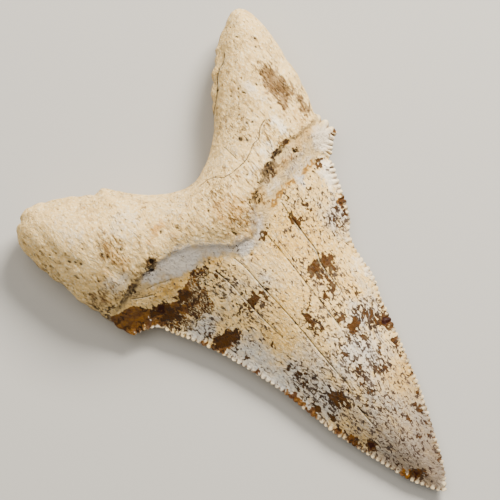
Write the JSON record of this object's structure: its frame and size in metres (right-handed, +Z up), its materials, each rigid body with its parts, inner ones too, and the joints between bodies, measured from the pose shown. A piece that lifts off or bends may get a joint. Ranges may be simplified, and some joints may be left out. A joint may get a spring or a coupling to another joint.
{
  "type": "fossil megalodon tooth",
  "caption": "Large fossil shark tooth with a forked root, a long triangular serrated crown and small side cusplets, lying on its flat face.",
  "frame": {"origin": "middle of the bounding box, at the level of the table that the flat labial face lies on", "axes": "+Y from the crown's tip to the root, +X to the right seen from above with the lingual face up, +Z up"},
  "size_m": [0.0618, 0.0936, 0.0187],
  "materials": {
    "fossil_tooth": "satin"
  },
  "bodies": {
    "root": {"tooth": "fossil_tooth"}
  },
  "joints": []
}
